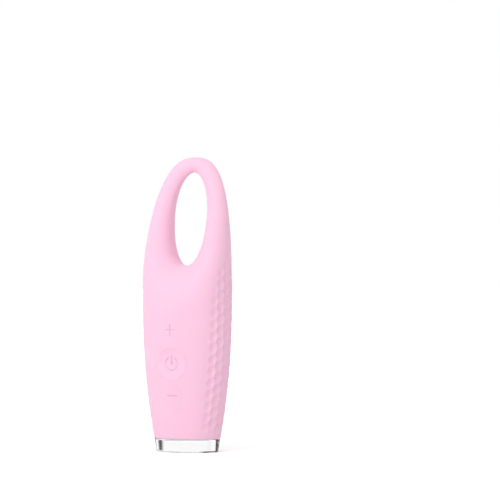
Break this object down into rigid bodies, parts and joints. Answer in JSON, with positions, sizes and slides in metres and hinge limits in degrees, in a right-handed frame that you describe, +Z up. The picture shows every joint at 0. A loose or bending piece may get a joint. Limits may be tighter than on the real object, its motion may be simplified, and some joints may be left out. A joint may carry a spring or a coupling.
{
  "type": "eye massager",
  "caption": "Hand-held eye massager with a leaning loop head, a soft honeycomb-textured skin, front push buttons and a clear foot.",
  "frame": {"origin": "middle of the foot, on the surface that the massager stands on", "axes": "+Z up along the handle to the crown of the loop, +Y towards the back, where the charging socket is, +X to the right as seen from the button side"},
  "size_m": [0.0444, 0.0311, 0.135],
  "materials": {
    "pink_silicone": "soft satin moulded silicone with a honeycomb grip",
    "button_silicone": "soft satin moulded silicone",
    "clear_plastic": "clear polished plastic",
    "white_plastic": "moulded white plastic",
    "core_plastic": "glass filled moulded plastic",
    "diffuser_plastic": "milky moulded plastic",
    "board_laminate": "green solder mask on laminate",
    "chip_black": "moulded epoxy",
    "switch_black": "moulded switch body",
    "led_lens": "cast lens",
    "screw_steel": "zinc plated steel",
    "motor_steel": "nickel plated can",
    "weight_alloy": "sintered heavy alloy",
    "cell_foil": "laminated foil pouch",
    "foam": "closed cell foam",
    "seal_rubber": "moulded rubber",
    "wire_red": "extruded wire cover",
    "wire_black": "extruded wire cover",
    "socket_black": "moulded socket body"
  },
  "bodies": {
    "housing": {"silicone_skin": "pink_silicone", "tact_switches": "switch_black", "front_shell": "white_plastic", "rear_shell": "white_plastic", "loop_core": "core_plastic", "chassis": "white_plastic", "circuit_board": "board_laminate", "board_components": "chip_black", "board_screws": "screw_steel", "housing_screws": "screw_steel", "battery_cell": "cell_foil", "battery_pad": "foam", "battery_leads": "wire_red", "motor_left": "motor_steel", "motor_right": "motor_steel", "motor_boot_left": "seal_rubber", "motor_boot_right": "seal_rubber", "motor_leads": "wire_black", "charging_socket": "socket_black", "socket_seal": "seal_rubber", "socket_leads": "wire_red", "indicator_leds": "led_lens", "clear_base": "clear_plastic", "base_seal": "seal_rubber", "light_diffuser": "diffuser_plastic"},
    "power_button": {"power_button_cap": "button_silicone", "power_plunger": "white_plastic", "power_switch_actuator": "switch_black"},
    "plus_button": {"plus_button_cap": "button_silicone", "plus_plunger": "white_plastic", "plus_switch_actuator": "switch_black"},
    "minus_button": {"minus_button_cap": "button_silicone", "minus_plunger": "white_plastic", "minus_switch_actuator": "switch_black"},
    "left_rotor": {"rotor_left": "weight_alloy"},
    "right_rotor": {"rotor_right": "weight_alloy"}
  },
  "joints": [
    {"name": "power_press", "type": "slide", "parent": "housing", "child": "power_button", "axis": [0, 1, 0], "range_m": [0, 0.0004], "stiffness_N_per_m": 1500},
    {"name": "plus_press", "type": "slide", "parent": "housing", "child": "plus_button", "axis": [0, 1, 0], "range_m": [0, 0.0004], "stiffness_N_per_m": 1500},
    {"name": "minus_press", "type": "slide", "parent": "housing", "child": "minus_button", "axis": [0, 1, 0], "range_m": [0, 0.0004], "stiffness_N_per_m": 1500},
    {"name": "left_motor_spin", "type": "hinge", "parent": "housing", "child": "left_rotor", "pos_m": [-0.00951, 0.00189, 0.06], "axis": [0, 0, 1], "continuous": true},
    {"name": "right_motor_spin", "type": "hinge", "parent": "housing", "child": "right_rotor", "pos_m": [0.00951, 0.00189, 0.06], "axis": [0, 0, 1], "continuous": true}
  ]
}
